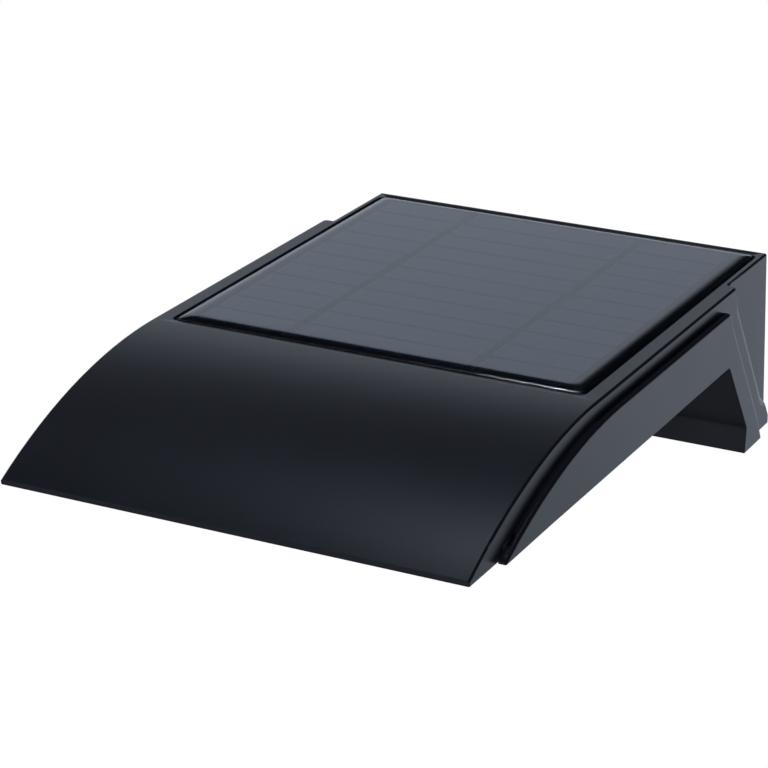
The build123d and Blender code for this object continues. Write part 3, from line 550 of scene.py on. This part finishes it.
# Control board: green glass laminate on four standoffs, with the charging chip, the driver, a
# wound coil, two cans and three lead sockets soldered to its upper side.
solder_mask = finish("green_solder_mask", (0.02, 0.13, 0.05), 0.32, pebble=1200.0, mottle=0.35,
                     bump=0.06)
epoxy = finish("chip_epoxy", (0.014, 0.014, 0.015), 0.55, pebble=3000.0, mottle=0.2, bump=0.1)
ferrite = finish("ferrite", (0.05, 0.05, 0.055), 0.6, pebble=2600.0, mottle=0.35, bump=0.14)
drawn_can = finish("drawn_can", (0.7, 0.71, 0.72), 0.28, pebble=1500.0, mottle=0.12, bump=0.05,
                   Metallic=1.0)
nylon = finish("nylon_socket", (0.78, 0.76, 0.69), 0.45, pebble=1800.0, mottle=0.1, bump=0.05)
dress(solder_mask, "control_board")
dress(epoxy, "board_chips", "push_switch")
dress(ferrite, "inductor")
dress(drawn_can, "capacitors")
dress(nylon, "lead_sockets")

# Mode button: a dished cap of dark grey plastic in the underside. It slides up against the switch
# on the control board, and its flange keeps it from falling out.
button_plastic = finish("button_plastic", (0.03, 0.031, 0.034), 0.45, pebble=2600.0, mottle=0.15,
                        bump=0.06)
BUTTON_OUT = 79.0
low, high = (corner.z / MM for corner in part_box("mode_button"))
BUTTON_RADIUS = 6.0
FLANGE_RADIUS = 7.5
FLANGE = 1.0
BUTTON_ROUND = 0.6
DISH = 0.35
DISH_RIM = 1.4
BUTTON_SIDES = 64
GROOVE_RADIUS = 5.1
GROOVE_FOOT = FLOOR + 0.4
GROOVE_TOP = FLOOR + 1.5
# The dish is a depth * cos^2 of its radius, which is level in the middle and at the rim.
dish_r = np.linspace(0, BUTTON_RADIUS - DISH_RIM, 10)
dish = np.column_stack([dish_r, low + DISH * np.cos(dish_r / dish_r[-1] * np.pi / 2) ** 2])
edge = quarter((BUTTON_RADIUS - BUTTON_ROUND, low + BUTTON_ROUND), BUTTON_ROUND, -90)
button = spun("button_cap", np.vstack([
    dish, edge,
    [(BUTTON_RADIUS, GROOVE_FOOT), (GROOVE_RADIUS, GROOVE_FOOT), (GROOVE_RADIUS, GROOVE_TOP),
     (BUTTON_RADIUS, GROOVE_TOP), (BUTTON_RADIUS, high - FLANGE), (FLANGE_RADIUS, high - FLANGE),
     (FLANGE_RADIUS, high), (0, high)],
]), BUTTON_SIDES)
button.data.transform(Matrix.Translation((0, -BUTTON_OUT * MM, 0)))
smooth(button)
stand_in(button, "mode_button", button_plastic)
dress(button_plastic, "switch_stem")

# Battery: one rechargeable cell in printed shrink wrap, snapped into a black holder that is
# screwed to the back cover, with sprung contacts at its ends.
wrap = finish("blue_shrink_wrap", (0.04, 0.17, 0.38), 0.22, pebble=900.0, mottle=0.1, bump=0.05)
dress(wrap, "battery")
dress(cover_plastic, "battery_holder")

# Leads: thin stranded wire in red and black insulation, from the panel, the LEDs and the battery.
# Each pair ends in one of the control board's sockets.
red = finish("red_insulation", (0.45, 0.02, 0.018), 0.4, pebble=2200.0, mottle=0.12, bump=0.05)
black = finish("black_insulation", (0.014, 0.014, 0.015), 0.42, pebble=2200.0, mottle=0.12, bump=0.05)
for part in ("panel", "led", "battery"):
    dress(red, f"{part}_lead_red")
    dress(black, f"{part}_lead_black")

# Upper shell: hood and rear box in one moulding of the same satin black plastic. The hood's sides
# stand proud of the drafted box, and its rear step is raked and rounded.
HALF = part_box("upper_shell")[1].x / MM
RIM = -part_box("upper_shell")[1].y / MM
HOOD_REAR = 29.8
RAKE_FOOT = FOOT + 4.7
LIP = FLOOR + 1.6
CROWN_START = 122.6
BOX_HALF = HALF - 2.8
BOX_DRAFT = np.tan(np.radians(1.7))
HOOD_ROUND = 0.6
STEP_ROUND = 4.2
LIP_ROUND = 0.1
LIP_CORNER = 0.14
LIP_RUN = 12  # the hood's round fades over this length
NOSE_CORNER, NOSE_EDGE = 0.5, 0.4
HOOD_CORNER = 1.2
STEP_RUN, STEP_DROP = 3.3, 5.1  # from the hood's rear end to the full round of the step
STEP_END_RUN, STEP_END_RISE = 4.0, 5.6  # from the rake's foot to the end of that round
RIM_CORNER, RIM_EDGE = 0.7, 0.5
LEG_CORNER, LEG_EDGE = 0.5, 0.5
arc = crown(CROWN_START, TOP - SKIN, REACH - SKIN, LIP)[::-1]
arc_edge = np.interp(arc[:, 0], [REACH - LIP_RUN, REACH], [HOOD_ROUND, LIP_ROUND])
arc_corner = np.where(arc[:, 0] == arc[0, 0], LIP_CORNER, 0)
hood_line = rounded(np.vstack([
    [(REACH - SKIN, FLOOR + SKIN, NOSE_CORNER, NOSE_EDGE)],
    np.column_stack([arc, arc_corner, arc_edge]),
    [
        (HOOD_REAR + SKIN, TOP - SKIN, HOOD_CORNER, HOOD_ROUND),
        (HOOD_REAR - STEP_RUN, TOP - STEP_DROP, 0, STEP_ROUND),
        (RIM + STEP_END_RUN, RAKE_FOOT + STEP_END_RISE, 0, STEP_ROUND),
        (RIM + SKIN, RAKE_FOOT, RIM_CORNER, RIM_EDGE),
        (RIM + SKIN, FOOT + SKIN, SMALL_CORNER, SMALL_EDGE),
        (FOOT_FRONT - SKIN, FOOT + SKIN, SMALL_CORNER, SMALL_EDGE),
        (KNEE_OUT - SKIN, KNEE, LEG_CORNER, SMALL_EDGE),
        (LEG_APEX - SKIN, FLOOR + SKIN, LEG_CORNER, LEG_EDGE),
    ],
]))
envelope = carried("hood_envelope", hood_line, HALF - SKIN)
box_line = rounded([
    (LEG_APEX - SKIN, TOP - SKIN, 0, HOOD_ROUND),
    (RIM + SKIN, TOP - SKIN, SMALL_CORNER, SMALL_EDGE),
    (RIM + SKIN, FOOT + 2 * SKIN, SMALL_CORNER, SMALL_EDGE),
    (FOOT_FRONT - 2 * SKIN, FOOT + 2 * SKIN, SMALL_CORNER, SMALL_EDGE),
    (KNEE_OUT - 2 * SKIN, KNEE, LEG_CORNER, LEG_EDGE),
    (LEG_APEX - SKIN, FLOOR + 2 * SKIN, 0, LEG_EDGE),
])
carve(envelope, carried("box_envelope", box_line, BOX_HALF - SKIN, BOX_DRAFT), "UNION")
hood = carve(merged_copy("upper_moulding", "upper_shell"), envelope, "INTERSECT")
flat_faces_first(hood)
stand_in(hood, "upper_shell", shell_plastic)

# Solar panel: eleven cell strips with two dark ribbons on a dark board, under a slab of clear
# resin that sets with a rolled edge. Foam tape holds it in the hood's recess.
dark_board = finish("dark_laminate", (0.002, 0.003, 0.005), 0.3, pebble=1500.0, mottle=0.2, bump=0.03,
                    Specular_IOR_Level=0.08)
silicon = finish("silicon", (0.003, 0.006, 0.014), 0.12, pebble=1400.0, mottle=0.5, bump=0.03,
                 clouds=18.0, Specular_IOR_Level=0.5, Specular_Tint=(0.64, 0.95, 1.2, 1))
ribbon = finish("dark_ribbon", (0.002, 0.013, 0.011), 0.3, pebble=1500.0, mottle=0.3, bump=0.03,
                Specular_IOR_Level=0.1)
foam = finish("black_foam", (0.03, 0.03, 0.03), 0.85, pebble=1200.0, mottle=0.4, bump=0.5)
dress(dark_board, "panel_board")
dress(silicon, "solar_cells")
dress(ribbon, "cell_ribbons")
dress(foam, "panel_tape")
panel_low, panel_high = (np.array(corner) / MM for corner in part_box("panel_resin"))
SHORT_LEFT, SHORT_RIGHT, SHORT_FRONT = 0.8, 0.3, 0.5  # the resin stops short of the board's edges
slab_low = panel_low[:2] + (SHORT_LEFT, SHORT_FRONT)
slab_high = panel_high[:2] - (SHORT_RIGHT, 0)
slab_middle = (slab_low + slab_high) / 2
PANEL_SIDE, PANEL_END = (slab_high - slab_low) / 2
ROLL_WIDTH = 3.4
ROLL_DROP = 0.62
ROLL_POWER = 2.0
ROLL_STEPS = 14
PANEL_EDGE_ROUND = 0.4
PANEL_CORNER = 1.0
CORNER_GROWTH = 0.5
EMBED = 0.02
RING_STEPS = 8  # to each corner
RING_POINTS = 4 * (RING_STEPS + 1)
SLAB_TURN = 40  # degrees


def plan_ring(inset, radius):
    """Points (x, y) of the panel's outline, moved inwards by an inset: four quarter circles whose
    centres are a radius inside the moved sides."""
    side, end = PANEL_SIDE - inset - radius, PANEL_END - inset - radius
    signs = [(1, 1), (-1, 1), (-1, -1), (1, -1)]
    arcs = [quarter((sx * side, sy * end), radius, 90 * i, RING_STEPS) for i, (sx, sy) in enumerate(signs)]
    return np.vstack(arcs)


# Over its rolled edge the slab rises by drop * (1 - (1 - t)^power), so that it meets the flat level.
roll = np.linspace(0, 1, ROLL_STEPS)
edge_top = panel_high[2] - ROLL_DROP
round_in = quarter((PANEL_EDGE_ROUND, edge_top - PANEL_EDGE_ROUND), PANEL_EDGE_ROUND, 90)[::-1]
rolled = np.column_stack([PANEL_EDGE_ROUND + roll * (ROLL_WIDTH - PANEL_EDGE_ROUND),
                          edge_top + ROLL_DROP * (1 - (1 - roll) ** ROLL_POWER)])
section = np.vstack([[(0, panel_low[2] - EMBED)], round_in, rolled[1:]])
rings = [
    np.column_stack([plan_ring(inset, PANEL_CORNER + CORNER_GROWTH * inset), np.full(RING_POINTS, z)])
    for inset, z in section
]
points = np.vstack(rings) + (*slab_middle, 0)
resin = smooth(new_piece("resin_slab", points, tube_faces(len(rings), RING_POINTS)), SLAB_TURN)
clear_resin = finish("clear_resin", (0.75, 0.82, 0.9), 0.11, pebble=2000.0, mottle=0.05, bump=0.02,
                     clouds=20.0, spread=0.05, Transmission_Weight=1.0, IOR=1.5)
stand_in(resin, "panel_resin", clear_resin)

# Stage: a plain pale floor well below the light, which hangs on a wall. It is white to the camera,
# and the glossy faces mirror it as a cool sheet with a painted shadow: dark beneath and near the light,
# brighter behind it and, less, far in front.
FLOOR_DROP = -0.95
FLOOR_SIZE = 9.0
COOL_WHITE = (0.765, 0.85, 1.0)
WHITE = (1, 1, 1, 1)
PALE = (0.8, 0.8, 0.8, 1)
PAPER_ROUGHNESS = 0.9
# Painted shadow in the mirrored floor: spans along Y in metres, and its levels there.
REAR_SHADE_SPAN, REAR_SHADE_LEVELS = (0.6, 2.5), (0.2, 0.98)
FRONT_SHADE_SPAN, FRONT_SHADE_LEVELS = (-0.8, -1.8), (0.0, 0.3)


def faded(tree, value, span, levels, how="SMOOTHSTEP"):
    """A level that goes from the first to the second while a value crosses a span."""
    node = tree.nodes.new("ShaderNodeMapRange")
    node.interpolation_type = how
    for label, number in zip(("From Min", "From Max", "To Min", "To Max"), (*span, *levels)):
        node.inputs[label].default_value = number
    tree.links.new(value, node.inputs["Value"])
    return node.outputs["Result"]


floor_points = FLOOR_SIZE * np.array([(-1, -1, 0), (1, -1, 0), (1, 1, 0), (-1, 1, 0)])
floor = new_piece("floor", floor_points / MM, [[0, 1, 2, 3]])
floor.location.z = FLOOR_DROP
paper = bpy.data.materials.new("pale_floor")
paper.use_nodes = True
tree = paper.node_tree
matt = tree.nodes["Principled BSDF"]
matt.inputs["Base Color"].default_value = PALE
matt.inputs["Roughness"].default_value = PAPER_ROUGHNESS
path = tree.nodes.new("ShaderNodeLightPath")
on_floor = tree.nodes.new("ShaderNodeSeparateXYZ")
tree.links.new(tree.nodes.new("ShaderNodeTexCoord").outputs["Object"], on_floor.inputs[0])
# Painted shadow: the mirrored sheet stays dark beneath and near the light and brightens behind it and,
# less, far in front.
rear_painted_shade = faded(tree, on_floor.outputs["Y"], REAR_SHADE_SPAN, REAR_SHADE_LEVELS)
front_painted_shade = faded(tree, on_floor.outputs["Y"], FRONT_SHADE_SPAN, FRONT_SHADE_LEVELS, "LINEAR")
painted_shade_sheet = mixed(tree, 1.0, (*COOL_WHITE, 1), maths(tree, "ADD", rear_painted_shade, front_painted_shade), "MULTIPLY")
glow = tree.nodes.new("ShaderNodeEmission")
feed(tree, glow.inputs["Color"], mixed(tree, path.outputs["Is Camera Ray"], painted_shade_sheet, WHITE))
reflected = maths(tree, "MAXIMUM", path.outputs["Is Glossy Ray"], path.outputs["Is Transmission Ray"])
blend = tree.nodes.new("ShaderNodeMixShader")
feed(tree, blend.inputs[0], maths(tree, "MAXIMUM", path.outputs["Is Camera Ray"], reflected))
feed(tree, blend.inputs[1], matt.outputs[0])
feed(tree, blend.inputs[2], glow.outputs[0])
feed(tree, tree.nodes["Material Output"].inputs["Surface"], blend.outputs[0])
floor.data.materials.append(paper)

# Studio: a white sweep behind and to the left that turns dark overhead, a dark flag to the right, a
# soft box above, a key light, and a small lamp whose glint runs along the resin's front edge only.
SWEEP_TILT = 0.4
SWEEP_LIFT = 0.135
SWEEP_STOPS = [(0.0, 0.78), (0.39, 0.78), (0.53, 0.03), (1.0, 0.03)]
FLAG_SPAN, FLAG_LEVELS = (-0.22, -0.06), (1.0, 0.08)
world = bpy.data.worlds.new("studio")
bpy.context.scene.world = world
world.use_nodes = True
tree = world.node_tree
ray = tree.nodes.new("ShaderNodeSeparateXYZ")
tree.links.new(tree.nodes.new("ShaderNodeTexCoord").outputs["Generated"], ray.inputs[0])
ramp = tree.nodes.new("ShaderNodeValToRGB")
for position, _ in SWEEP_STOPS[2:]:
    ramp.color_ramp.elements.new(position)
for element, (position, level) in zip(ramp.color_ramp.elements, SWEEP_STOPS):
    element.position = position
    element.color = (*(level * tint for tint in COOL_WHITE), 1)
tilt = maths(tree, "MULTIPLY_ADD", ray.outputs["X"], SWEEP_TILT, SWEEP_LIFT)
tree.links.new(maths(tree, "ADD", ray.outputs["Z"], tilt), ramp.inputs[0])
flag = faded(tree, ray.outputs["X"], FLAG_SPAN, FLAG_LEVELS)
sweep = mixed(tree, 1.0, ramp.outputs[0], flag, "MULTIPLY")
path = tree.nodes.new("ShaderNodeLightPath")
sky = mixed(tree, path.outputs["Is Camera Ray"], sweep, WHITE)
tree.links.new(sky, tree.nodes["Background"].inputs["Color"])
LIGHT_AIM = (0, -0.09, 0)


def facing(place, aim):
    """The rotation of a lamp or a camera at a place that looks at a point."""
    return (Vector(aim) - Vector(place)).to_track_quat("-Z", "Y").to_euler()


def soft_box(name, place, size, power):
    """A square area light at a place, turned towards the part, in metres and watts."""
    light = bpy.data.lights.new(name, "AREA")
    light.shape = "RECTANGLE"
    light.energy = power
    light.color = COOL_WHITE
    light.size = size
    light.size_y = size
    box = bpy.data.objects.new(name, light)
    bpy.context.scene.collection.objects.link(box)
    box.location = place
    box.rotation_euler = facing(place, LIGHT_AIM)
    return box


soft_box("overhead", (-0.33, 0.1, 1.5), 0.4, 2.8)
soft_box("key", (0.9, -1.2, 1.3), 0.6, 18.0)
glint = soft_box("glint", (-0.51, -0.78, 1.47), 0.09, 16.0)
glint_only = bpy.data.collections.new("glint_only")
glint_only.objects.link(resin)
glint.light_linking.receiver_collection = glint_only

# Camera: a long lens a little above the light, to the right of its front. Its place was fitted to
# the outlines in the photo.
CAMERA_PLACE = (0.3114, -0.7124, 0.2794)
CAMERA_AIM = (-0.01601, -0.08244, 0.00134)
CAMERA_LENS = 135.0
CAMERA_SENSOR = 36.0
camera = bpy.data.cameras.new("camera")
camera.lens = CAMERA_LENS
camera.sensor_width = CAMERA_SENSOR
view = bpy.data.objects.new("camera", camera)
bpy.context.scene.collection.objects.link(view)
view.location = CAMERA_PLACE
view.rotation_euler = facing(CAMERA_PLACE, CAMERA_AIM)
bpy.context.scene.camera = view
bpy.context.scene.view_settings.view_transform = "Standard"
